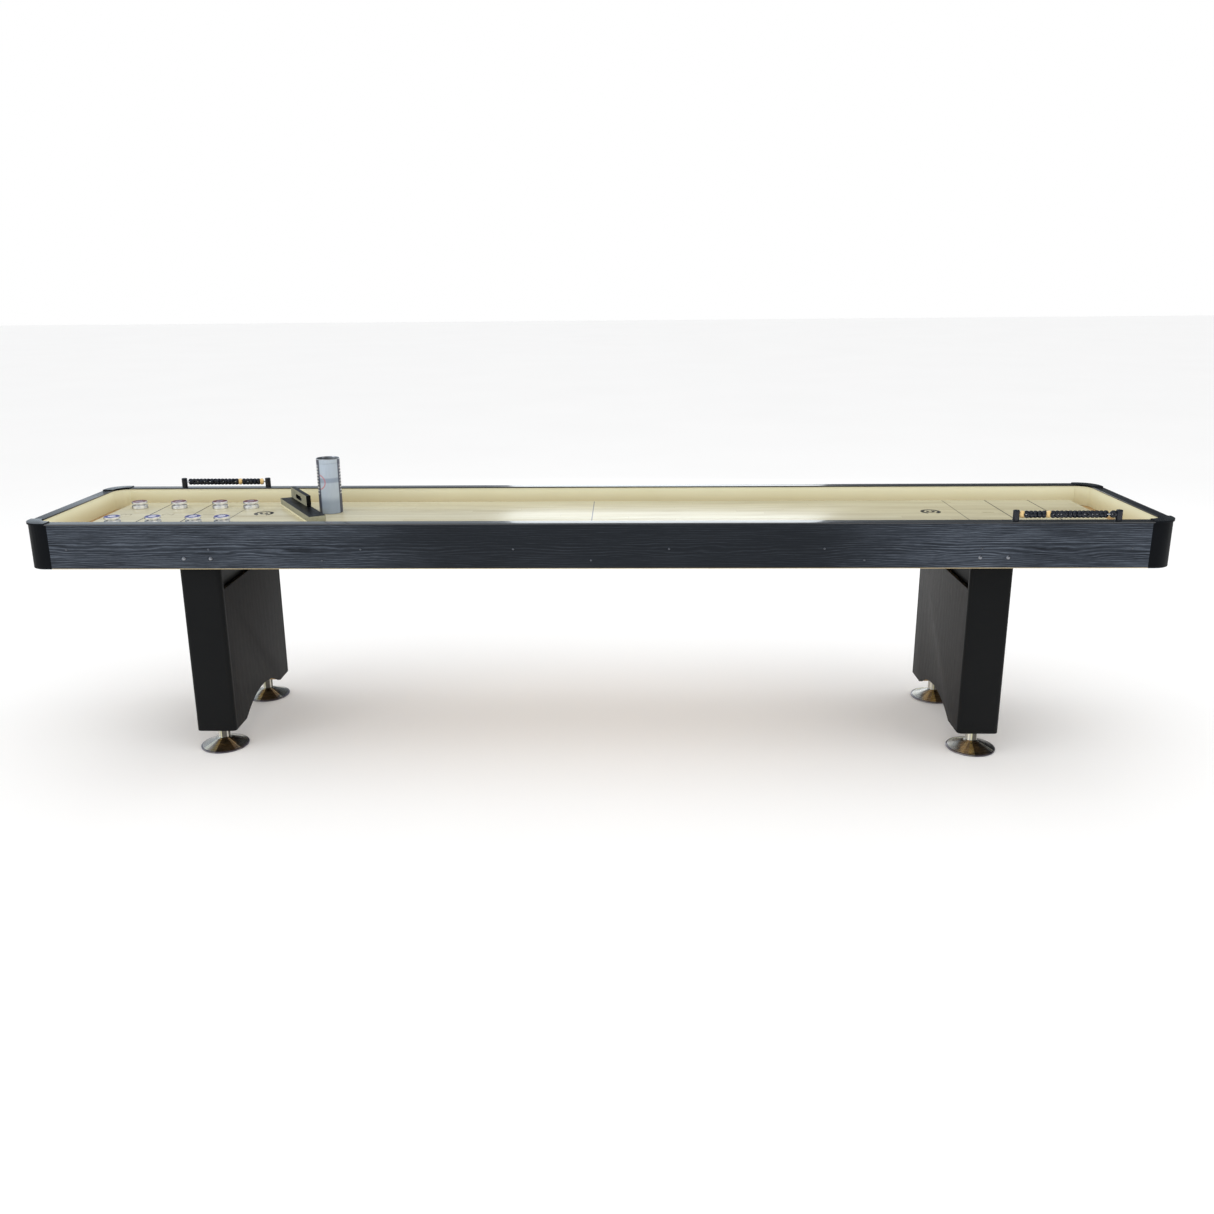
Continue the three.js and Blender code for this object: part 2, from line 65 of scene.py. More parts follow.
def add_camera():
    camera = bpy.data.objects.new("camera", bpy.data.cameras.new("camera"))
    scene.collection.objects.link(camera)
    camera.data.sensor_width = 36
    camera.data.lens = 31.993
    camera.data.shift_x, camera.data.shift_y = 0.01242, -0.0242
    turn = Matrix.Rotation(VIEW_YAW, 4, "Z") @ Matrix.Rotation(QUARTER - VIEW_PITCH, 4, "X")
    camera.matrix_world = Matrix.Translation(VIEW_FROM) @ turn @ Matrix.Rotation(VIEW_ROLL, 4, "Z")
    scene.camera = camera


def add_softbox(name, at, aim, size, glow, tint=(1, 1, 1)):
    """A rectangular light of an even glow, seen in reflections but not by the camera."""
    light = bpy.data.lights.new(name, "AREA")
    light.shape = "RECTANGLE"
    light.size, light.size_y = size
    light.energy = glow * math.pi * size[0] * size[1]
    light.color = tint
    lamp = bpy.data.objects.new(name, light)
    scene.collection.objects.link(lamp)
    lamp.location = at
    lamp.rotation_euler = (Vector(aim) - Vector(at)).to_track_quat("-Z", "Y").to_euler()
    lamp.visible_camera = False


def add_lights():
    add_softbox("overhead", (0.3, -0.4, 4.2), (0.2, 0.1, 0.5), (7.0, 4.0), 0.45)
    add_softbox("behind", (0.45, 4.6, 1.75), (0.3, 0.0, 0.76), (2.6, 1.4), 1.9, (0.92, 0.97, 1.0))
    add_softbox("left_front", (-4.6, -3.4, 2.2), (-1.0, 0.0, 0.4), (1.2, 2.6), 1.6)
    add_softbox("right_front", (4.6, -3.4, 2.2), (1.0, 0.0, 0.4), (1.2, 2.6), 0.7)
    add_world()
    scene.view_settings.view_transform = "Standard"


def add_world():
    """An even white surround. In reflections it is dimmer and bluer, and falls off towards the right."""
    world = bpy.data.worlds.new("studio")
    scene.world = world
    world.use_nodes = True
    tree = world.node_tree
    background = tree.nodes["Background"]
    tint = tree.nodes.new("ShaderNodeMix")
    tint.data_type = "RGBA"
    tint.inputs[6].default_value = (1, 1, 1, 1)
    tint.inputs[7].default_value = (0.8, 0.9, 1.0, 1)
    tree.links.new(tint.outputs[2], background.inputs["Color"])
    path = tree.nodes.new("ShaderNodeLightPath")
    where = tree.nodes.new("ShaderNodeTexCoord")
    split = tree.nodes.new("ShaderNodeSeparateXYZ")
    mirrored = tree.nodes.new("ShaderNodeMapRange")
    level = tree.nodes.new("ShaderNodeMapRange")
    for socket, value in zip(("From Min", "From Max", "To Min", "To Max"), (-0.5, 0.4, 0.62, 0.07)):
        mirrored.inputs[socket].default_value = value
    level.inputs["To Min"].default_value = 1.0
    tree.links.new(path.outputs["Is Glossy Ray"], tint.inputs[0])
    tree.links.new(where.outputs["Generated"], split.inputs["Vector"])
    tree.links.new(split.outputs["X"], mirrored.inputs["Value"])
    tree.links.new(path.outputs["Is Glossy Ray"], level.inputs["Value"])
    tree.links.new(mirrored.outputs["Result"], level.inputs["To Max"])
    tree.links.new(level.outputs["Result"], background.inputs["Strength"])


# ---- shader sums ----
class Wire:
    """A shader socket that takes part in Python arithmetic."""

    def __init__(self, recipe, socket):
        self.recipe, self.socket = recipe, socket

    def _sum(self, operation, *values):
        inputs = dict(enumerate(values))
        return self.recipe.node("ShaderNodeMath", {"operation": operation}, inputs)

    def __add__(self, other):
        return self._sum("ADD", self, other)

    def __sub__(self, other):
        return self._sum("SUBTRACT", self, other)

    def __rsub__(self, other):
        return self._sum("SUBTRACT", other, self)

    def __mul__(self, other):
        return self._sum("MULTIPLY", self, other)

    def __truediv__(self, other):
        return self._sum("DIVIDE", self, other)

    def __abs__(self):
        return self._sum("ABSOLUTE", self)

    def __pow__(self, other):
        return self._sum("POWER", self, other)

    __radd__ = __add__
    __rmul__ = __mul__

    def least(self, other):
        return self._sum("MINIMUM", self, other)

    def most(self, other):
        return self._sum("MAXIMUM", self, other)

    def whole(self):
        return self._sum("FLOOR", self)

    def fraction(self):
        return self._sum("FRACT", self)

    def sine(self):
        return self._sum("SINE", self)

    def angle(self, across):
        """The direction of (across, self), in radians."""
        return self._sum("ARCTAN2", self, across)

    def step(self, low, high):
        """0 up to low, 1 from high, smooth between. With low above high it falls."""
        settings = {"interpolation_type": "SMOOTHSTEP"}
        inputs = {"Value": self, "From Min": low, "From Max": high}
        return self.recipe.node("ShaderNodeMapRange", settings, inputs)

    def near(self, value, half_width, soft):
        """1 within half_width of value, 0 beyond a soft edge."""
        return abs(self - value).step(half_width + soft, half_width)

    def split(self):
        node = self.recipe.tree.nodes.new("ShaderNodeSeparateXYZ")
        self.recipe.feed(node.inputs[0], self)
        return [Wire(self.recipe, socket) for socket in node.outputs]

    def stretched(self, x, y, z):
        settings = {"operation": "MULTIPLY"}
        return self.recipe.node("ShaderNodeVectorMath", settings, {0: self, 1: (x, y, z)})

    def shifted(self, vector):
        return self.recipe.node("ShaderNodeVectorMath", {"operation": "ADD"}, {0: self, 1: vector})


def srgb(red, green, blue):
    """A colour given as 0 to 255 on a screen, in the shader's own linear units."""
    return tuple((v / 255 / 12.92 if v <= 10 else ((v / 255 + 0.055) / 1.055) ** 2.4)
                 for v in (red, green, blue)) + (1.0,)


class Recipe:
    """One material, with a single way of adding nodes to it."""

    def __init__(self, name, **constants):
        self.material = bpy.data.materials.new(name)
        self.material.use_nodes = True
        self.tree = self.material.node_tree
        self.surface = self.tree.nodes["Principled BSDF"]
        self.place = self.node("ShaderNodeTexCoord", out="Object")
        for socket, value in constants.items():
            self.surface.inputs[socket.replace("_", " ")].default_value = value

    def node(self, kind, settings=None, inputs=None, out=0):
        node = self.tree.nodes.new(kind)
        for key, value in (settings or {}).items():
            setattr(node, key, value)
        for key, value in (inputs or {}).items():
            self.feed(node.inputs[key], value)
        return Wire(self, node.outputs[out])

    def feed(self, socket, value):
        if isinstance(value, Wire):
            self.tree.links.new(value.socket, socket)
        else:
            socket.default_value = value

    def noise(self, where, scale=1.0, detail=2.0, rough=0.5, warp=0.0):
        inputs = {"Vector": where, "Scale": scale, "Detail": detail, "Roughness": rough, "Distortion": warp}
        return self.node("ShaderNodeTexNoise", None, inputs)

    def speckle(self, where):
        """A random value from 0 to 1 for each place."""
        return self.node("ShaderNodeTexWhiteNoise", {"noise_dimensions": "3D"}, {"Vector": where})

    def vector(self, x=0.0, y=0.0, z=0.0):
        return self.node("ShaderNodeCombineXYZ", None, {0: x, 1: y, 2: z})

    def mixed(self, first, second, share):
        """The first colour going over to the second as share goes from 0 to 1."""
        return self.node("ShaderNodeMix", {"data_type": "RGBA"}, {0: share, 6: first, 7: second}, out=2)

    def edges(self, radius, gain=6.0):
        """1 along the piece's edges, 0 on its flats, as handling wears them."""
        eased = self.node("ShaderNodeBevel", {"samples": 4}, {"Radius": radius})
        plain = self.node("ShaderNodeNewGeometry", out="Normal")
        alike = self.node("ShaderNodeVectorMath", {"operation": "DOT_PRODUCT"}, {0: eased, 1: plain}, out="Value")
        return ((1.0 - alike) * gain).least(1.0)

    def bump(self, height, distance):
        normal = self.node("ShaderNodeBump", None, {"Height": height, "Distance": distance})
        self.feed(self.surface.inputs["Normal"], normal)

    def colour(self, value):
        self.feed(self.surface.inputs["Base Color"], value)

    def roughness(self, value):
        self.feed(self.surface.inputs["Roughness"], value)


# ---- finishes ----
def black_oak_laminate():
    """Printed and embossed black oak foil on the aprons: long arches with dark, broken lines. Towards both ends it is
    painted lighter, with stronger pale grain ridges, as painted sheen.
    """
    r = Recipe("black_oak_laminate", Specular_IOR_Level=0.16)
    x, y, z = r.place.split()
    along = x + y
    low_part = z.step(0.745, 0.690)
    slow = r.noise(r.vector(along * 2.2, z * 9.0, 0.0), 1.0, 2.0, 0.5)
    waver = r.noise(r.vector(along * 9.0, z * 45.0, 3.0), 1.0, 2.0, 0.5)
    rings = ((z * 180.0 + slow * (low_part * 7.0 + 1.5) + waver * 1.6) * 6.2832).sine() * 0.5 + 0.5
    streak = r.noise(r.vector(along * 9.0, z * 330.0, 5.0), 1.0, 3.0, 0.6)
    fibre = r.noise(r.vector(along * 42.0, z * 900.0, 7.0), 1.0, 3.0, 0.6)
    patch = r.noise(r.vector(along * 3.0, z * 14.0, 11.0), 1.0, 2.0, 0.5)
    figure = rings * 0.3 + streak * 0.8 + fibre * 0.45 + patch * 0.45
    ridge = figure.step(0.98, 1.34)
    groove = figure.step(0.98, 0.72)
    # Painted sheen: lighter foil, paler ridges and stronger grain contrast towards both ends of the aprons
    painted_end_sheen = abs(x - 0.1).step(0.55, 1.05) * 0.85 + 0.15
    base = r.mixed(srgb(24, 28, 33), srgb(52, 58, 67), painted_end_sheen)
    base = r.mixed(base, srgb(104, 112, 124), ridge * painted_end_sheen * 0.75)
    base = r.mixed(base, srgb(24, 27, 32), groove * (painted_end_sheen * 0.8 + 0.1))
    r.colour(r.mixed(base, srgb(84, 88, 94), r.edges(1.5 * MM) * 0.35))
    r.roughness(0.62 - ridge * 0.16 + groove * 0.1)
    r.bump(figure, 0.3 * MM)
    return r.material


def black_rail_foil():
    r = Recipe("black_rail_foil", Specular_IOR_Level=0.5, Coat_Roughness=0.12, Coat_IOR=1.8)
    x, y, z = r.place.split()
    pores = r.noise(r.place.stretched(22.0, 22.0, 22.0).shifted((0.0, 0.0, 5.0)), 1.0, 3.0)
    streak = r.noise(r.vector(x * 9.0 + y * 9.0, x * 260.0 - y * 260.0, z * 260.0), 1.0, 3.0)
    worn = r.edges(2.5 * MM, 3.0)
    r.colour(r.mixed(r.mixed(srgb(10, 12, 17), srgb(22, 25, 32), streak), srgb(60, 66, 76), worn * 0.3))
    r.roughness(0.27 + streak * 0.1 + pores * 0.06)
    r.feed(r.surface.inputs["Coat Weight"], 0.7 + pores * 0.2)
    r.bump(streak, 0.05 * MM)
    return r.material


def moulded_black():
    """Fine-grained black moulding of the corner castings."""
    r = Recipe("moulded_black", Specular_IOR_Level=0.06, Coat_IOR=1.8)
    leather = r.node("ShaderNodeTexVoronoi", {"feature": "F1"}, {"Vector": r.place, "Scale": 1100.0})
    cloud = r.noise(r.place, 14.0, 3.0)
    worn = r.edges(2.5 * MM, 4.0)
    up = r.node("ShaderNodeNewGeometry", out="Normal").split()[2]
    r.colour(r.mixed(r.mixed(srgb(10, 12, 15), srgb(17, 20, 24), cloud), srgb(58, 64, 74), worn * 0.3))
    r.roughness(0.46 + cloud * 0.1 - up.step(0.5, 0.9) * 0.22)
    r.feed(r.surface.inputs["Coat Weight"], up.step(0.5, 0.9) * 0.95)
    r.bump(leather, 0.06 * MM)
    return r.material


def cream_liner():
    r = Recipe("cream_liner", Specular_IOR_Level=0.35)
    x, y, z = r.place.split()
    cloud = r.noise(r.place, 5.0, 3.0)
    fine = r.noise(r.place, 700.0, 2.0)
    # Painted shade: the liners grow darker downwards, to 12 mm under the playfield's top
    low = z.step(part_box("front_liner")[1].z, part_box("playfield")[1].z - 12 * MM)
    base = r.mixed(srgb(250, 249, 220), srgb(241, 239, 206), cloud)
    r.colour(r.mixed(base, srgb(196, 188, 142), low * 0.4))
    r.roughness(0.5 + cloud * 0.12)
    r.bump(fine, 0.04 * MM)
    return r.material


STRIP_WIDTH, STRIP_LENGTH = 34 * MM, 0.92


def lacquered_maple():
    """Edge-glued maple strips under thick clear lacquer, with the printed score lines."""
    r = Recipe("lacquered_maple", Specular_IOR_Level=0.5, Coat_Roughness=0.22, Coat_IOR=1.5)
    x, y, z = r.place.split()
    across = y / STRIP_WIDTH
    strip = across.whole()
    offset = r.speckle(r.vector(strip, 3.0, 1.0))
    lengthways = x / STRIP_LENGTH + offset * 5.0
    piece = lengthways.whole()
    tone = r.speckle(r.vector(strip, piece, 9.0))
    start = r.speckle(r.vector(strip, piece, 5.0)) * 40.0
    figure = r.noise(r.vector(x * 3.2 + start, y * 55.0, z * 55.0), 1.0, 4.0, 0.6, 0.4)
    fibre = r.noise(r.vector(x * 14.0, y * 900.0, start), 1.0, 2.0, 0.6)
    fleck = r.noise(r.vector(x * 7.0, y * 130.0, start), 1.0, 2.0, 0.5).step(0.70, 0.78)
    base = r.mixed(srgb(206, 199, 166), srgb(184, 173, 138), figure.step(0.3, 0.75))
    base = r.mixed(base, srgb(220, 215, 186), tone * 0.5)
    base = r.mixed(base, srgb(136, 112, 78), fleck * 0.4 + fibre.step(0.55, 0.8) * 0.1)
    seam = abs(across.fraction() - 0.5).step(0.488, 0.496)
    butt = abs(lengthways.fraction() - 0.5).step(0.4993, 0.4997)
    base = r.mixed(base, srgb(128, 106, 76), seam.most(butt) * 0.35)
    end = abs(x)
    line = end.near(1.555, 2.2 * MM, 0.4 * MM).most(end.near(1.402, 2.2 * MM, 0.4 * MM))
    foul = end.near(1.250, 1.6 * MM, 0.4 * MM)
    middle = x.near(-0.004, 1.6 * MM, 0.5 * MM)
    above = z.step(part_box("playfield")[1].z - 1 * MM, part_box("playfield")[1].z - 0.4 * MM)
    base = r.mixed(base, srgb(20, 17, 17), line.most(foul * 0.8) * above)
    base = r.mixed(base, srgb(70, 84, 112), middle * above * 0.8)
    r.colour(base)
    r.roughness(0.36 + figure * 0.12)
    r.feed(r.surface.inputs["Coat Weight"], 0.6 + tone * 0.1)
    r.bump(figure * 0.4 + seam * -0.5, 0.03 * MM)
    return r.material


def black_board():
    """Plain black melamine of the legs' front and rear boards."""
    r = Recipe("black_board", Specular_IOR_Level=0.1)
    cloud = r.noise(r.place, 5.0, 3.0)
    fine = r.noise(r.place.stretched(1.0, 1.0, 0.15), 420.0, 3.0)
    worn = r.edges(1.2 * MM, 6.0)
    base = r.mixed(srgb(16, 17, 18), srgb(24, 25, 26), cloud)
    r.colour(r.mixed(base, srgb(58, 58, 60), worn * 0.3))
    r.roughness(0.42 + cloud * 0.1 + fine * 0.06)
    r.bump(fine, 0.04 * MM)
    return r.material


def grained_panel(name, shine):
    """Dark grained foil of a leg's side panels, its figure running up the leg. Painted shade darkens the left leg's
    panels.
    """
    r = Recipe(name, Specular_IOR_Level=shine)
    x, y, z = r.place.split()
    slow = r.noise(r.vector(x * 3.0, y * 5.0, z * 1.2), 1.0, 2.0)
    rings = ((y * 30.0 + slow * 6.0) * 6.2832).sine() * 0.5 + 0.5
    fibre = r.noise(r.vector(x * 500.0, y * 700.0, z * 26.0), 1.0, 3.0, 0.6)
    grain = (rings * 0.07 + fibre * 0.95).step(0.2, 0.9)
    worn = r.edges(1.2 * MM, 6.0)
    base = r.mixed(srgb(38, 37, 37), srgb(54, 53, 53), grain)
    # Painted shade: darker on the left leg, where x is below -0.2 m
    base = r.mixed(base, srgb(25, 25, 26), x.step(0.2, -0.2) * 0.6)
    r.colour(r.mixed(base, srgb(76, 74, 72), worn * 0.4))
    r.roughness(0.6 - grain * 0.14)
    r.bump(grain, 0.08 * MM)
    return r.material


def turned_metal(name, tint, rough, grooves, **constants):
    """Bright metal from a lathe, with fine rings round the axis."""
    r = Recipe(name, Metallic=1.0, **constants)
    x, y, z = r.place.split()
    radius = (x * x + y * y) ** 0.5
    rings = r.noise(r.vector(radius * grooves, z * grooves, 0.0), 1.0, 3.0, 0.6)
    smudge = r.noise(r.place, 38.0, 3.0)
    dull = tuple(v * 0.78 for v in tint[:3]) + (1.0,)
    r.colour(r.mixed(tint, dull, smudge.step(0.35, 0.75)))
    r.roughness(rough + rings * rough * 0.5 + smudge * 0.04)
    r.bump(rings, 0.012 * MM)
    return r.material


def spun_brass_nickel():
    """The feet: fine spinning rings, with painted highlight rays, painted warm reflections and painted dark reflections
    in sectors round the axis.
    """
    r = Recipe("spun_brass_nickel", Metallic=1.0, Anisotropic=0.6)
    x, y, z = r.place.split()
    turn = y.angle(x)
    radius = (x * x + y * y) ** 0.5
    rings = r.noise(r.vector(radius * 900.0, z * 900.0, 0.0), 1.0, 3.0, 0.6)
    smudge = r.noise(r.place, 38.0, 3.0)
    flank = radius.step(72 * MM, 77 * MM)
    # Painted light by angle round the axis: highlight rays, warm reflections, and dark reflections in the shade mask
    painted_highlight_ray = turn.near(-2.30, 0.12, 0.06).most(turn.near(-0.56, 0.035, 0.03)).most(turn.near(0.95, 0.10, 0.08))
    painted_warm_reflection = turn.near(-1.80, 0.10, 0.07).most(turn.near(2.2, 0.2, 0.1))
    shade = turn.near(-1.25, 0.42, 0.1).most(turn.near(0.10, 0.55, 0.15)).most(turn.near(1.7, 0.2, 0.1))
    base = r.mixed(srgb(206, 203, 198), srgb(178, 174, 164), smudge.step(0.35, 0.75))
    base = r.mixed(base, srgb(62, 60, 52), shade * 0.85)
    base = r.mixed(base, srgb(226, 224, 188), painted_warm_reflection * 0.85)
    base = r.mixed(base, srgb(255, 252, 236), painted_highlight_ray)
    r.colour(r.mixed(base, srgb(118, 114, 126), flank * 0.8))
    r.roughness(0.2 + rings * 0.1 + smudge * 0.05)
    r.bump(rings, 0.012 * MM)
    return r.material


def bright_weight():
    """Polished puck bodies: pale, with a painted dark reflection and a painted highlight ray round the axis."""
    r = Recipe("bright_weight", Metallic=0.35, Specular_IOR_Level=0.5)
    x, y, z = r.place.split()
    turn = y.angle(x)
    rings = r.noise(r.vector((x * x + y * y) ** 0.5 * 400.0, z * 400.0, 0.0), 1.0, 3.0, 0.6)
    smudge = r.noise(r.place, 60.0, 3.0)
    # Painted dark reflection near -2.45 and 0.1 rad, and a white painted highlight near -0.87 rad
    shade = turn.near(-2.45, 0.12, 0.4).most(turn.near(0.1, 0.1, 0.4) * 0.6)
    base = r.mixed(srgb(244, 246, 250), srgb(214, 217, 224), smudge.step(0.4, 0.75))
    base = r.mixed(base, srgb(92, 94, 104), shade * 0.8)
    r.colour(r.mixed(base, srgb(255, 255, 255), turn.near(-0.87, 0.15, 0.15)))
    r.roughness(0.12 + rings * 0.06 + smudge * 0.05)
    r.bump(rings, 0.012 * MM)
    return r.material


def moulded_cap(name, deep, bright):
    """Glossy moulded plastic with faint turning rings."""
    r = Recipe(name, Specular_IOR_Level=0.5)
    x, y, z = r.place.split()
    radius = (x * x + y * y) ** 0.5
    rings = (radius * 5200.0).sine() * 0.5 + 0.5
    cloud = r.noise(r.place, 60.0, 2.0)
    r.colour(r.mixed(deep, bright, cloud))
    r.roughness(0.22 + rings * 0.05 + cloud * 0.1)
    r.bump(rings, 0.02 * MM)
    return r.material


def black_plastic():
    r = Recipe("black_plastic", Specular_IOR_Level=0.5)
    cloud = r.noise(r.place, 90.0, 3.0)
    fine = r.noise(r.place, 900.0, 2.0)
    r.colour(r.mixed(srgb(9, 12, 21), srgb(22, 29, 43), cloud))
    r.roughness(0.2 + cloud * 0.14)
    r.bump(fine, 0.02 * MM)
    return r.material


def turned_beech():
    r = Recipe("turned_beech", Specular_IOR_Level=0.5, Coat_Weight=0.35, Coat_Roughness=0.15)
    x, y, z = r.place.split()
    rings = r.noise(r.vector(x * 60.0, y * 420.0, z * 160.0), 1.0, 3.0, 0.6)
    fleck = r.noise(r.place, 300.0, 2.0).step(0.6, 0.75)
    base = r.mixed(srgb(242, 216, 156), srgb(214, 174, 108), rings)
    r.colour(r.mixed(base, srgb(150, 98, 54), fleck * 0.4))
    r.roughness(0.34 + rings * 0.14)
    r.bump(rings, 0.05 * MM)
    return r.material


def raw_chipboard(name="raw_chipboard", light=(214, 200, 164), dark=(176, 154, 112)):
    """Bare board: pressed chips, open and dull."""
    r = Recipe(name, Specular_IOR_Level=0.2)
    chips = r.node("ShaderNodeTexVoronoi", {"feature": "F1"}, {"Vector": r.place, "Scale": 260.0}, out="Color")
    cloud = r.noise(r.place, 30.0, 4.0)
    fine = r.noise(r.place, 800.0, 3.0)
    shade = r.node("ShaderNodeRGBToBW", None, {0: chips})
    r.colour(r.mixed(srgb(*light), srgb(*dark), shade * 0.5 + cloud * 0.5))
    r.roughness(0.78 + fine * 0.14)
    r.bump(shade * 0.5 + fine, 0.1 * MM)
    return r.material


def plain_ply():
    """Unfinished ply and pine under the table."""
    r = Recipe("plain_ply", Specular_IOR_Level=0.25)
    x, y, z = r.place.split()
    figure = r.noise(r.vector(x * 2.4, y * 30.0, z * 30.0), 1.0, 4.0, 0.6, 0.6)
    fibre = r.noise(r.vector(x * 20.0, y * 600.0, z * 600.0), 1.0, 2.0)
    base = r.mixed(srgb(206, 176, 128), srgb(160, 122, 78), figure)
    r.colour(r.mixed(base, srgb(120, 88, 56), fibre.step(0.6, 0.85) * 0.4))
    r.roughness(0.66 + figure * 0.16)
    r.bump(figure + fibre * 0.4, 0.12 * MM)
    return r.material


def sweep_face():
    """Black melamine of the sweep, scuffed by powder."""
    r = Recipe("sweep_face", Specular_IOR_Level=0.12)
    dust = r.noise(r.place.stretched(1.0, 0.35, 1.0), 38.0, 4.0, 0.6).step(0.45, 0.85)
    fine = r.noise(r.place, 500.0, 3.0)
    worn = r.edges(1.0 * MM, 6.0)
    r.colour(r.mixed(r.mixed(srgb(9, 10, 12), srgb(24, 27, 29), dust), srgb(84, 90, 88), worn * 0.4))
    r.roughness(0.36 + dust * 0.25)
    r.bump(fine, 0.05 * MM)
    return r.material


def pressed_felt():
    r = Recipe("pressed_felt", Specular_IOR_Level=0.1, Sheen_Weight=0.4, Sheen_Roughness=0.5)
    fibre = r.noise(r.place, 900.0, 4.0, 0.7, 1.5)
    cloud = r.noise(r.place, 60.0, 3.0)
    r.colour(r.mixed(srgb(248, 243, 208), srgb(222, 214, 172), fibre * 0.6 + cloud * 0.3))
    r.roughness(0.86 + fibre * 0.12)
    r.bump(fibre, 0.3 * MM)
    return r.material


def printed_label():
    """Brushed blue-grey can print: a plain field, with a dark ruled panel on each side of it. The dark panels are
    partly print and partly painted shade on the sides turned away from the front.
    """
    r = Recipe("printed_label", Metallic=0.2, Specular_IOR_Level=0.5)
    x, y, z = r.place.split()
    turn = y.angle(x)
    front = abs(turn + 1.3)
    brush = r.noise(r.vector(turn * 30.0, z * 24.0, 0.0), 1.0, 3.0)
    cloud = r.noise(r.place, 30.0, 3.0)
    field = r.mixed(srgb(176, 190, 208), srgb(206, 218, 232), brush)
    field = r.mixed(field, srgb(118, 134, 162), z.near(0.118, 5 * MM, 6 * MM) * 0.55)
    field = r.mixed(field, srgb(112, 128, 156), z.step(0.066, 0.038) * 0.5)
    # Partly print, partly painted shade: dark panels on both sides turned more than 0.82 rad from turn -1.3
    panel = front.step(0.82, 0.92)
    rule = ((z * 92.0).fraction()).near(0.5, 0.16, 0.05) * z.step(0.062, 0.068) * (0.0 + z.step(0.172, 0.166))
    column = front.near(1.26, 0.16, 0.04)
    field = r.mixed(field, srgb(38, 40, 66), panel * 0.88)
    field = r.mixed(field, srgb(226, 226, 224), rule * column * panel)
    aside, above = (turn + 2.3) * 0.04, z - 0.112
    loop = ((aside * aside + above * above) ** 0.5).near(0.025, 1.6 * MM, 0.6 * MM)
    field = r.mixed(field, srgb(206, 120, 132), loop * (1.0 - panel) * 0.8)
    r.colour(field)
    r.roughness(0.3 + brush * 0.12 + cloud * 0.06)
    r.bump(brush, 0.02 * MM)
    return r.material


def printed_ink(name, deep, faded):
    r = Recipe(name, Specular_IOR_Level=0.5, Coat_Weight=0.4, Coat_Roughness=0.09)
    wear = r.noise(r.place, 240.0, 4.0, 0.7)
    r.colour(r.mixed(deep, faded, wear.step(0.5, 0.8)))
    r.roughness(0.4 + wear * 0.2)
    r.bump(wear, 0.01 * MM)
    return r.material


def pale_floor():
    r = Recipe("pale_floor", Specular_IOR_Level=0.15)
    cloud = r.noise(r.place, 0.7, 3.0)
    r.colour(r.mixed((0.95, 0.95, 0.95, 1), (0.98, 0.98, 0.98, 1), cloud))
    r.roughness(0.75 + cloud * 0.1)
    return r.material


# ---- making pieces ----
def piece_from(bm, name, finishes):
    mesh = bpy.data.meshes.new(name)
    bmesh.ops.recalc_face_normals(bm, faces=bm.faces)
    bm.to_mesh(mesh)
    bm.free()
    for finish in finishes:
        mesh.materials.append(finish)
    piece = bpy.data.objects.new(name, mesh)
    scene.collection.objects.link(piece)
    return piece


def settle(piece, *modifiers):
    """The modifiers worked into the mesh."""
    for kind, settings in modifiers:
        modifier = piece.modifiers.new(kind.lower(), kind)
        for key, value in settings.items():
            setattr(modifier, key, value)
    depsgraph = bpy.context.evaluated_depsgraph_get()
    piece.data = bpy.data.meshes.new_from_object(piece.evaluated_get(depsgraph))
    piece.modifiers.clear()
    return piece


def smooth(piece, degrees=35):
    piece.data.shade_smooth()
    piece.data.set_sharp_from_angle(angle=math.radians(degrees))
    return piece


def eased_edges(piece, width, segments=3, degrees=32):
    settings = {"width": width, "segments": segments, "limit_method": "ANGLE",
                "angle_limit": math.radians(degrees), "harden_normals": True}
    piece.data.shade_smooth()
    return settle(piece, ("BEVEL", settings))


def place(piece, body, nodes=()):
    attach(piece, body)
    if nodes:
        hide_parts(*nodes)
    return piece


def dress(node, finishes, ease=0.8 * MM, raw_below=None):
    """The CAD part with its hard edges eased. With raw_below, its second finish lies under that height."""
    bm = bmesh.new()
    bm.from_mesh(frame["nodes"][node].data)
    bmesh.ops.remove_doubles(bm, verts=bm.verts, dist=0.01 * MM)
    bmesh.ops.dissolve_limit(bm, angle_limit=math.radians(0.5), verts=bm.verts, edges=bm.edges)
    piece = eased_edges(piece_from(bm, "finished_" + node, finishes), ease)
    if raw_below is not None:
        bm = bmesh.new()
        bm.from_mesh(piece.data)
        geometry = bm.verts[:] + bm.edges[:] + bm.faces[:]
        bmesh.ops.bisect_plane(bm, geom=geometry, plane_co=(0, 0, raw_below), plane_no=(0, 0, 1))
        for face in bm.faces:
            face.material_index = 1 if face.calc_center_median().z < raw_below else 0
        bm.to_mesh(piece.data)
        bm.free()
        smooth(piece)
    return place(piece, BODY_OF[node], [node])


def eased(corners, closed=True, steps=5):
    """Corners of (u, v) or (u, v, radius) as points, with each corner that has a radius rounded."""
    points = []
    count = len(corners)
    for i, corner in enumerate(corners):
        here = Vector(corner[:2])
        radius = corner[2] if len(corner) > 2 else 0
        if not radius or (not closed and i in (0, count - 1)):
            points.append(here)
            continue
        back = (Vector(corners[i - 1][:2]) - here).normalized()
        on = (Vector(corners[(i + 1) % count][:2]) - here).normalized()
        half = back.angle(on) / 2
        centre = here + (back + on).normalized() * radius / math.sin(half)
        first = here + back * radius / math.tan(half) - centre
        last = here + on * radius / math.tan(half) - centre
        sweep = first.angle_signed(last)
        for step in range(steps + 1):
            turned_by = Matrix.Rotation(-sweep * step / steps, 2)
            points.append(centre + turned_by @ first)
    return points


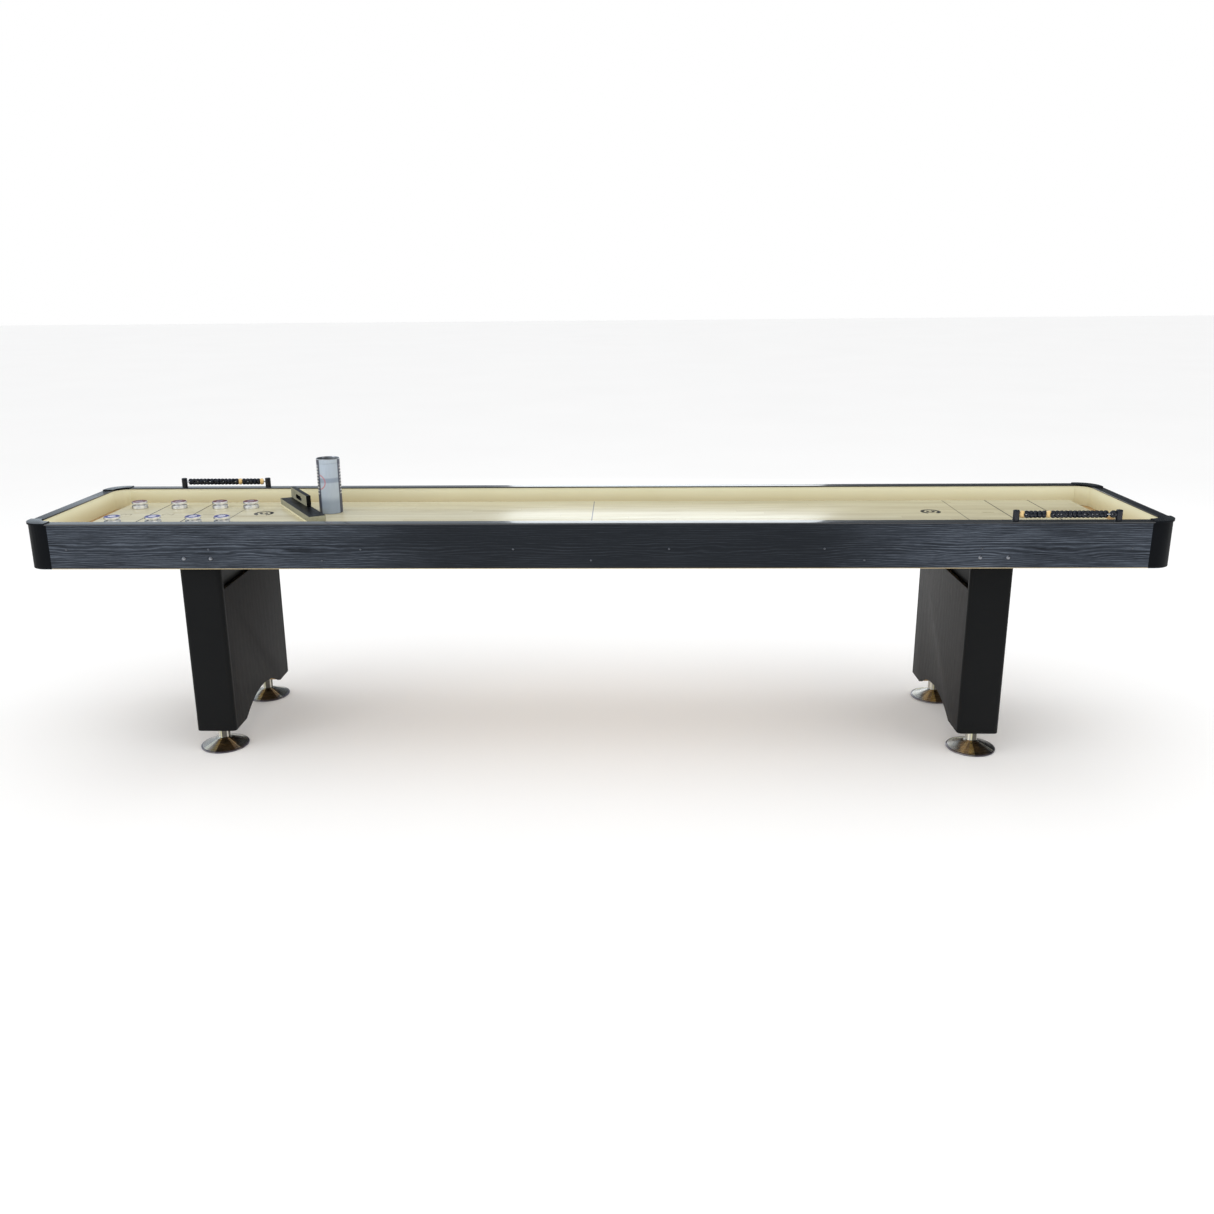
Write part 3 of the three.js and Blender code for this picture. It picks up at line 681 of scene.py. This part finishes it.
def turned(name, profile, finishes, segments=72, ring=False, steps=5):
    """A profile of (radius, height[, corner radius]) in millimetres, turned about the piece's own Z."""
    bm = bmesh.new()
    loops = []
    for radius, height in eased(profile, closed=ring, steps=steps):
        if radius < 1e-6:
            loops.append([bm.verts.new((0, 0, height * MM))])
            continue
        loops.append([bm.verts.new((radius * MM * math.cos(a), radius * MM * math.sin(a), height * MM))
                      for a in (2 * math.pi * i / segments for i in range(segments))])
    pairs = list(zip(loops, loops[1:])) + ([(loops[-1], loops[0])] if ring else [])
    for low, high in pairs:
        for i in range(segments):
            j = (i + 1) % segments
            corners = [low[i % len(low)], low[j % len(low)], high[j % len(high)], high[i % len(high)]]
            unique = list(dict.fromkeys(corners))
            if len(unique) > 2:
                bm.faces.new(unique)
    return smooth(piece_from(bm, name, finishes))


def plate(name, outlines, thickness, finishes, ease=0.8 * MM):
    """Flat stock in the piece's XY plane: the first outline is its rim and the others are holes."""
    curve = bpy.data.curves.new(name, "CURVE")
    curve.dimensions = "2D"
    curve.fill_mode = "BOTH"
    curve.extrude = thickness / 2 - ease
    curve.bevel_depth = ease
    curve.bevel_resolution = 2
    curve.offset = -ease
    for outline in outlines:
        spline = curve.splines.new("POLY")
        spline.points.add(len(outline) - 1)
        for point, (u, v) in zip(spline.points, outline):
            point.co = (u, v, 0, 1)
        spline.use_cyclic_u = True
    flat = bpy.data.objects.new(name, curve)
    scene.collection.objects.link(flat)
    depsgraph = bpy.context.evaluated_depsgraph_get()
    mesh = bpy.data.meshes.new_from_object(flat.evaluated_get(depsgraph))
    bpy.data.objects.remove(flat)
    mesh.materials.clear()
    bm = bmesh.new()
    bm.from_mesh(mesh)
    bmesh.ops.remove_doubles(bm, verts=bm.verts, dist=0.01 * MM)
    return smooth(piece_from(bm, name, finishes))


def copy_of(piece, name, at):
    twin = bpy.data.objects.new(name, piece.data)
    scene.collection.objects.link(twin)
    twin.location = at
    return twin


add_camera()
add_lights()

OAK = black_oak_laminate()
RAIL = black_rail_foil()
MOULDED = moulded_black()
CREAM = cream_liner()
MAPLE = lacquered_maple()
BOARD = black_board()
# Lit and shaded copies of one finish: the left leg's copy has less shine, as painted shade
PANELS = {"left": grained_panel("shaded_left_grained_panel", 0.05), "right": grained_panel("right_grained_panel", 0.13)}
NICKEL = spun_brass_nickel()
WEIGHT = bright_weight()
CHROME = turned_metal("polished_chrome", (0.82, 0.83, 0.86, 1), 0.07, 400.0)
BOLT_STEEL = turned_metal("bolt_steel", (0.3, 0.31, 0.34, 1), 0.22, 600.0)
STEEL = turned_metal("dark_steel", (0.13, 0.14, 0.16, 1), 0.32, 600.0)
TIN = turned_metal("can_tin", (0.7, 0.72, 0.75, 1), 0.2, 500.0)
MAROON = moulded_cap("maroon_cap", srgb(84, 16, 34), srgb(118, 30, 50))
BLUE = moulded_cap("blue_cap", srgb(26, 28, 110), srgb(52, 56, 150))
PALE = moulded_cap("pale_inset", srgb(190, 192, 206), srgb(222, 222, 232))
GREY = moulded_cap("grey_inset", srgb(126, 118, 134), srgb(170, 160, 172))
DARK = moulded_cap("dark_recess", srgb(18, 17, 16), srgb(40, 36, 34))
PLASTIC = black_plastic()
BEECH = turned_beech()
CHIPS = raw_chipboard()
PLY = plain_ply()
SWEEP_FACE = sweep_face()
SWEEP_EDGE = raw_chipboard("sweep_edge", (176, 175, 154), (138, 137, 118))
FELT = pressed_felt()
LABEL = printed_label()
INK = printed_ink("printed_ink", srgb(20, 18, 18), srgb(46, 40, 36))
FADED_INK = printed_ink("faded_ink", srgb(158, 146, 112), srgb(176, 165, 130))

SIDES = ("front", "rear")
ENDS = ("left", "right")
RAW_EDGE = 2.2 * MM  # bare board left below the foil


# ---- cabinet ----
def make_cabinet():
    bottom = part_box("front_apron")[0].z
    for side in SIDES + ENDS:
        dress(f"{side}_apron", [OAK, CHIPS], 0.7 * MM, bottom + RAW_EDGE)
        dress(f"{side}_rail", [RAIL], 0.4 * MM)
        dress(f"{side}_liner", [CREAM], 0.5 * MM)
    for side in SIDES:
        for end in ENDS:
            dress(f"{side}_{end}_corner_casting", [MOULDED], 0.9 * MM)
    dress("cabinet_floor", [PLY], 0.8 * MM)
    for beam in ("left", "middle", "right"):
        dress(f"{beam}_cross_beam", [PLY], 1.5 * MM)
    dress("playfield", [MAPLE], 1.6 * MM)


def cross_head():
    """A small domed screw head with a cross recess."""
    head = turned("screw_head", [(0, -1.0), (3.6, -1.0), (3.9, -0.2, 0.3), (3.2, 0.9, 1.0), (0, 1.35)], [STEEL], 32)
    bm = bmesh.new()
    for size in ((3.8, 0.8), (0.8, 3.8)):
        block = bmesh.ops.create_cube(bm, size=MM)["verts"]
        bmesh.ops.scale(bm, vec=(size[0], size[1], 2.2), verts=block)
        bmesh.ops.translate(bm, vec=(0, 0, 1.6 * MM), verts=block)
    cutter = piece_from(bm, "cutter", [])
    cutter = settle(cutter)
    settle(head, ("BOOLEAN", {"object": cutter, "operation": "DIFFERENCE", "solver": "EXACT"}))
    bpy.data.objects.remove(cutter)
    return smooth(head)


SCREW_ROWS = ((0.717, (-1.687, -1.225, -0.735, -0.247, 0.247, 0.735, 1.225, 1.687)), (0.680, (-0.861, 0.0, 0.861)))
BOLT_HEIGHT, BOLT_X = 0.687, (-1.308, -1.221, 1.221, 1.308)
END_SCREWS = (0.717, (-0.15, 0.15))


def make_fixings():
    """Screws and carriage bolts on the aprons' faces."""
    screw = cross_head()
    bolt = turned("bolt_head", [(0, -1.5), (6.0, -1.5), (6.6, 0.2, 0.4), (4.6, 2.7, 2.6), (0, 3.6)], [BOLT_STEEL], 48)
    for side, sign in zip(SIDES, (-1, 1)):
        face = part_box(f"{side}_apron")[0 if sign < 0 else 1].y
        spots = [(screw, "screw", x, z, 0.3) for z, row in SCREW_ROWS for x in row]
        spots += [(bolt, "bolt", x, BOLT_HEIGHT, 0.2) for x in BOLT_X]
        for i, (head, kind, x, z, out) in enumerate(spots):
            twin = copy_of(head, f"{side}_apron_{kind}_{i + 1}", (x, face + sign * out * MM, z))
            twin.rotation_euler = (-sign * QUARTER, 0, 0)
            place(twin, "table")
    for end, sign in zip(ENDS, (-1, 1)):
        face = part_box(f"{end}_apron")[0 if sign < 0 else 1].x
        for i, y in enumerate(END_SCREWS[1]):
            twin = copy_of(screw, f"{end}_apron_screw_{i + 1}", (face + sign * 0.3 * MM, y, END_SCREWS[0]))
            twin.rotation_euler = (0, sign * QUARTER, 0)
            place(twin, "table")
    bpy.data.objects.remove(screw)
    bpy.data.objects.remove(bolt)


def printed(name, shape, at, turn, ink):
    """A curve or text as ink on the playing surface."""
    shape.extrude = 0.04 * MM
    flat = bpy.data.objects.new(name, shape)
    scene.collection.objects.link(flat)
    depsgraph = bpy.context.evaluated_depsgraph_get()
    mesh = bpy.data.meshes.new_from_object(flat.evaluated_get(depsgraph))
    bpy.data.objects.remove(flat)
    mesh.materials.clear()
    mesh.materials.append(ink)
    piece = bpy.data.objects.new(name, mesh)
    scene.collection.objects.link(piece)
    piece.location = (at[0], at[1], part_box("playfield")[1].z + 0.05 * MM)
    piece.rotation_euler = (0, 0, turn)
    return place(piece, "table")


ZONES = ((3, 1.638), (2, 1.491), (1, 1.347))
EMBLEM_X, EMBLEM_Y = 1.158, 0.03
EMBLEM_ARCS = ((22, 34, -60, 300), (6, 15, 130, 300))  # inner and outer radius, start and extent in degrees


def make_markings():
    for end, sign in zip(ENDS, (-1, 1)):
        for number, x in ZONES:
            text = bpy.data.curves.new("numeral", "FONT")
            text.body = str(number)
            text.size = 58 * MM
            text.align_x, text.align_y = "CENTER", "CENTER"
            printed(f"{end}_zone_{number}", text, (sign * x, 0.015), -sign * QUARTER, FADED_INK)
        rings = bpy.data.curves.new("rings", "CURVE")
        rings.dimensions = "2D"
        rings.fill_mode = "BOTH"
        for inner, outer, start, extent in EMBLEM_ARCS:
            spline = rings.splines.new("POLY")
            spline.points.add(97)
            for i, point in enumerate(spline.points):
                radius, step = (outer, i) if i < 49 else (inner, 97 - i)
                angle = math.radians(start + extent * step / 48)
                point.co = (radius * MM * math.cos(angle), radius * MM * math.sin(angle), 0, 1)
            spline.use_cyclic_u = True
        printed(f"{end}_emblem", rings, (sign * EMBLEM_X, EMBLEM_Y), 0, INK)


# ---- legs and feet ----
def make_legs():
    for end in ENDS:
        for board in ("front", "rear"):
            dress(f"{end}_leg_{board}_board", [BOARD], 0.8 * MM)
        for panel in ("inner", "outer"):
            dress(f"{end}_leg_{panel}_panel", [PANELS[end]], 0.7 * MM)
        dress(f"{end}_leg_top_beam", [BOARD], 1.0 * MM)
        for side in SIDES:
            dress(f"{side}_{end}_foot_block", [PLY], 0.8 * MM)


def make_feet():
    """Spun cone feet on threaded studs."""
    low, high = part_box("front_left_foot")
    thread_from, thread_to = 77.5, (high.z - low.z) / MM - 2
    profile = [(0, 0.3), (72, 0.3), (74, 1.2, 0.5), (78.6, 0.0, 0.8), (80, 2.2, 1.6), (79.4, 5.2, 1.2), (75.5, 6.6, 0.8),
               (74.3, 6.6, 0.5), (23.5, 28.6, 3), (19, 33, 4), (19, 71.5, 0.6), (18, 72.2, 0.3), (18, 73.4, 0.3),
               (19, 74.1, 0.6), (19, 76.7, 1.0), (8, 76.7)]
    turns = int((thread_to - thread_from) / 1.75)
    for i in range(turns):
        at = thread_from + 1.75 * i
        profile += [(7.0, at), (7.9, at + 0.6), (7.9, at + 0.95)]
    profile += [(7.0, thread_to), (6.2, thread_to + 2), (0, thread_to + 2)]
    foot = turned("foot", profile, [NICKEL], 128, steps=4)
    for side in SIDES:
        for end in ENDS:
            node = f"{side}_{end}_foot"
            low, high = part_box(node)
            centre = (low + high) / 2
            place(copy_of(foot, "finished_" + node, (centre.x, centre.y, low.z)), BODY_OF[node], [node])
    bpy.data.objects.remove(foot)


# ---- bead scorers ----
BEAD = 13.4  # length


def make_scorers():
    half = BEAD / 2 - 0.15
    profile = [(3.6, -half), (11.5, -half, 4.6), (11.5, half, 4.6), (3.6, half)]
    finishes = {"black": PLASTIC, "wood": BEECH}
    samples = {kind: turned(f"{kind}_bead", profile, [finish], 40, ring=True) for kind, finish in finishes.items()}
    strings = {
        "rear_beads_1_to_14": ["black"] * 14,
        "rear_bead_15": ["wood"],
        "rear_beads_16_to_21": ["black"] * 5 + ["wood"],
        "front_beads_16_to_21": ["wood"] + ["black"] * 5,
        "front_bead_15": ["wood"],
        "front_beads_2_to_14": ["black"] * 13,
        "front_bead_1": ["black"],
    }
    for node, kinds in strings.items():
        low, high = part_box(node)
        centre = (low + high) / 2
        for i, kind in enumerate(kinds):
            middle = (low.x + (i + 0.5) * BEAD * MM, centre.y, centre.z)
            bead = copy_of(samples[kind], f"{node}_{kind}_{i + 1}", middle)
            bead.rotation_euler = (random.uniform(-3, 3), QUARTER, 0)
            place(bead, BODY_OF[node], [node] if i == 0 else [])
    for bead in samples.values():
        bpy.data.objects.remove(bead)
    for side in SIDES:
        make_rack(side)


def make_rack(side):
    node = f"{side}_scorer_rack"
    low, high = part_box(node)
    radius = (high.y - low.y) / 2 / MM
    tall = (high.z - low.z) / MM
    rod_z = (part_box(f"{side}_bead_15")[0].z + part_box(f"{side}_bead_15")[1].z) / 2
    profile = [(0, 0), (radius, 0), (radius, 2.0, 0.3), (radius - 0.5, 2.4, 0.2), (radius - 0.5, 3.2, 0.2),
               (radius, 3.6, 0.3), (radius, tall, 2.6), (0, tall)]
    for i, x in enumerate((low.x + radius * MM, high.x - radius * MM)):
        post = turned(f"{node}_post_{i + 1}", profile, [PLASTIC], 48)
        post.location = (x, (low.y + high.y) / 2, low.z)
        place(post, "table", [node])
    reach = (high.x - low.x) / MM / 2 - radius * 1.2
    rod = turned(f"{node}_rod", [(0, -reach), (3, -reach, 0.4), (3, reach, 0.4), (0, reach)], [CHROME], 32)
    rod.location = ((low.x + high.x) / 2, (low.y + high.y) / 2, rod_z)
    rod.rotation_euler = (0, QUARTER, 0)
    place(rod, "table")


# ---- pucks ----
def make_pucks():
    """Steel weights with a waist, and a coloured cap let into the top of each."""
    steel = turned("weight", [
        (0, 0.2), (22, 0.2), (23, 0, 0.4), (26.2, 0, 0.8), (27, 1.2, 0.8), (27, 10.2, 1.2), (24.5, 11.2, 1.6),
        (17, 12.2, 1.6), (17, 16.0, 1.6), (24.5, 17.0, 1.6), (27, 18.0, 1.2), (27, 24.0, 1.3), (25.2, 24.4, 0.3),
        (24.6, 23.4, 0.2), (0, 23.4)], [WEIGHT], 80)
    cap = turned("cap", [
        (13.6, 23.3), (24.4, 23.3), (24.4, 24.9, 0.7), (20.2, 25.0, 0.2), (19.8, 24.6, 0.2), (19.2, 24.6, 0.2),
        (18.8, 25.0, 0.2), (14.2, 25.0, 0.4), (13.6, 24.2)], [BLUE], 72, ring=True)
    inset = turned("inset", [
        (0, 23.5), (13.4, 23.5), (13.4, 24.5, 0.4), (9.5, 24.8, 0.5), (4.2, 24.5, 0.4), (3.4, 23.9, 0.3), (0, 23.9)],
        [PALE], 64)
    colours = {"red": (MAROON, GREY), "blue": (BLUE, PALE)}
    for colour, (cap_finish, inset_finish) in colours.items():
        for i in range(4):
            node = f"{colour}_puck_{i + 1}"
            low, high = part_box(node)
            at = ((low.x + high.x) / 2, (low.y + high.y) / 2, low.z)
            place(copy_of(steel, f"{node}_weight", at), BODY_OF[node], [node])
            for part, kind, finish in ((cap, "cap", cap_finish), (inset, "inset", inset_finish)):
                twin = copy_of(part, f"{node}_{kind}", at)
                twin.data = part.data.copy()
                twin.data.materials[0] = finish
                place(twin, BODY_OF[node])
    for part in (steel, cap, inset):
        bpy.data.objects.remove(part)


# ---- sweep and can ----
SWEEP_TURN = math.radians(31.3)
SWEEP_WIDTH, SWEEP_LENGTH = 56 * MM, 380 * MM
FELT_THICKNESS = 7.5 * MM
SLOT_LENGTH, SLOT_HEIGHT, SLOT_RISE = 75 * MM, 15 * MM, 15 * MM
GRIP_LENGTH, GRIP_THICKNESS = 205 * MM, 16 * MM


def rectangle(half_u, half_v, radius, steps=6):
    corners = [(-half_u, -half_v, radius), (half_u, -half_v, radius), (half_u, half_v, radius), (-half_u, half_v, radius)]
    return eased(corners, steps=steps)


def make_sweep():
    """A black board with a felt sole, and an upright grip with a finger slot."""
    low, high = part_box("sweep_base")
    frame_at = Matrix.Translation(((low.x + high.x) / 2, (low.y + high.y) / 2, 0)) @ Matrix.Rotation(SWEEP_TURN, 4, "Z")
    rim = rectangle(SWEEP_WIDTH / 2, SWEEP_LENGTH / 2, 1.5 * MM)
    layers = (("sweep_sole", FELT, low.z, low.z + FELT_THICKNESS, 0.5 * MM),
              ("sweep_board", SWEEP_FACE, low.z + FELT_THICKNESS, high.z, 0.7 * MM))
    for name, finish, z0, z1, ease in layers:
        layer = plate(name, [rim], z1 - z0, [finish, SWEEP_EDGE], ease)
        layer.matrix_world = frame_at @ Matrix.Translation((0, 0, (z0 + z1) / 2))
        if finish is SWEEP_FACE:
            for face in layer.data.polygons:
                face.material_index = 1 if abs(face.normal.z) < 0.3 else 0
        place(layer, "sweep", ["sweep_base"])
    grip_low, grip_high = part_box("sweep_grip")
    tall = grip_high.z - grip_low.z
    slot = [(u, v - tall / 2 + SLOT_RISE) for u, v in rectangle(SLOT_LENGTH / 2, SLOT_HEIGHT / 2, SLOT_HEIGHT / 2.01)]
    grip = plate("sweep_handle", [rectangle(GRIP_LENGTH / 2, tall / 2, 1.5 * MM), slot], GRIP_THICKNESS,
                 [SWEEP_EDGE, SWEEP_FACE], 0.7 * MM)
    for face in grip.data.polygons:
        face.material_index = 0 if abs(face.normal.z) > 0.9 else 1
    upright = Matrix.Rotation(QUARTER, 4, "Z") @ Matrix.Rotation(QUARTER, 4, "X")
    grip.matrix_world = Matrix.Translation((grip_low + grip_high) / 2) @ Matrix.Rotation(SWEEP_TURN, 4, "Z") @ upright
    place(grip, "sweep", ["sweep_grip"])


def make_can():
    low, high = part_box("powder_can")
    radius = (high.x - low.x) / 2 / MM
    lid_low, lid_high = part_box("powder_can_lid")
    shoulder = (lid_low.z - low.z) / MM - 0.3
    tall = (lid_high.z - low.z) / MM
    at = ((low.x + high.x) / 2, (low.y + high.y) / 2, low.z)
    body = turned("powder_can_body", [
        (radius, 1.6, 0.3), (radius, shoulder, 0.5), (radius - 4, shoulder, 0.3), (radius - 4, shoulder + 9.5, 0.5),
        (radius - 6, shoulder + 9.5), (radius - 6, 1.8)], [LABEL], 96, ring=True)
    base = turned("powder_can_base", [
        (0, 1.4), (radius - 4, 1.4, 1), (radius - 3, 0, 0.8), (radius - 0.3, 0, 0.8), (radius - 0.1, 1.4, 0.4),
        (radius - 6.5, 2.2), (0, 2.2)], [TIN], 96)
    lid = turned("powder_can_rim", [
        (radius - 3.0, shoulder + 0.4), (radius, shoulder + 0.4, 0.3), (radius, tall - 2.4, 0.4),
        (radius, tall - 0.0, 1.1), (radius - 2.6, tall - 0.0, 1.1), (radius - 3.0, tall - 6.0, 0.5),
        (radius - 3.0, tall - 7.0)], [LABEL, TIN], 96, ring=True)
    for face in lid.data.polygons:
        face.material_index = 1 if face.center.z > (tall - 3.0) * MM or Vector(face.center[:2]).length < (radius - 1) * MM else 0
    top = turned("powder_can_top", [
        (0, tall - 6.6), (radius - 3.1, tall - 6.6), (radius - 3.1, tall - 5.4, 0.3), (radius - 8, tall - 5.2, 1),
        (radius - 9.5, tall - 6.0, 1), (11, tall - 5.6, 1), (9.5, tall - 4.6, 0.8), (0, tall - 4.6)], [DARK], 96)
    for piece, body_name, slot, nodes in ((body, "can", "label", ["powder_can"]), (base, "can", "label", []),
                                          (lid, "can_lid", "black_plastic", ["powder_can_lid"]),
                                          (top, "can_lid", "black_plastic", [])):
        piece.location = at
        place(piece, body_name, nodes)


def make_floor():
    bm = bmesh.new()
    bmesh.ops.create_grid(bm, x_segments=24, y_segments=24, size=40)
    floor = piece_from(bm, "floor", [pale_floor()])


random.seed(20)
make_floor()
make_cabinet()
make_fixings()
make_markings()
make_legs()
make_feet()
make_scorers()
make_pucks()
make_sweep()
make_can()
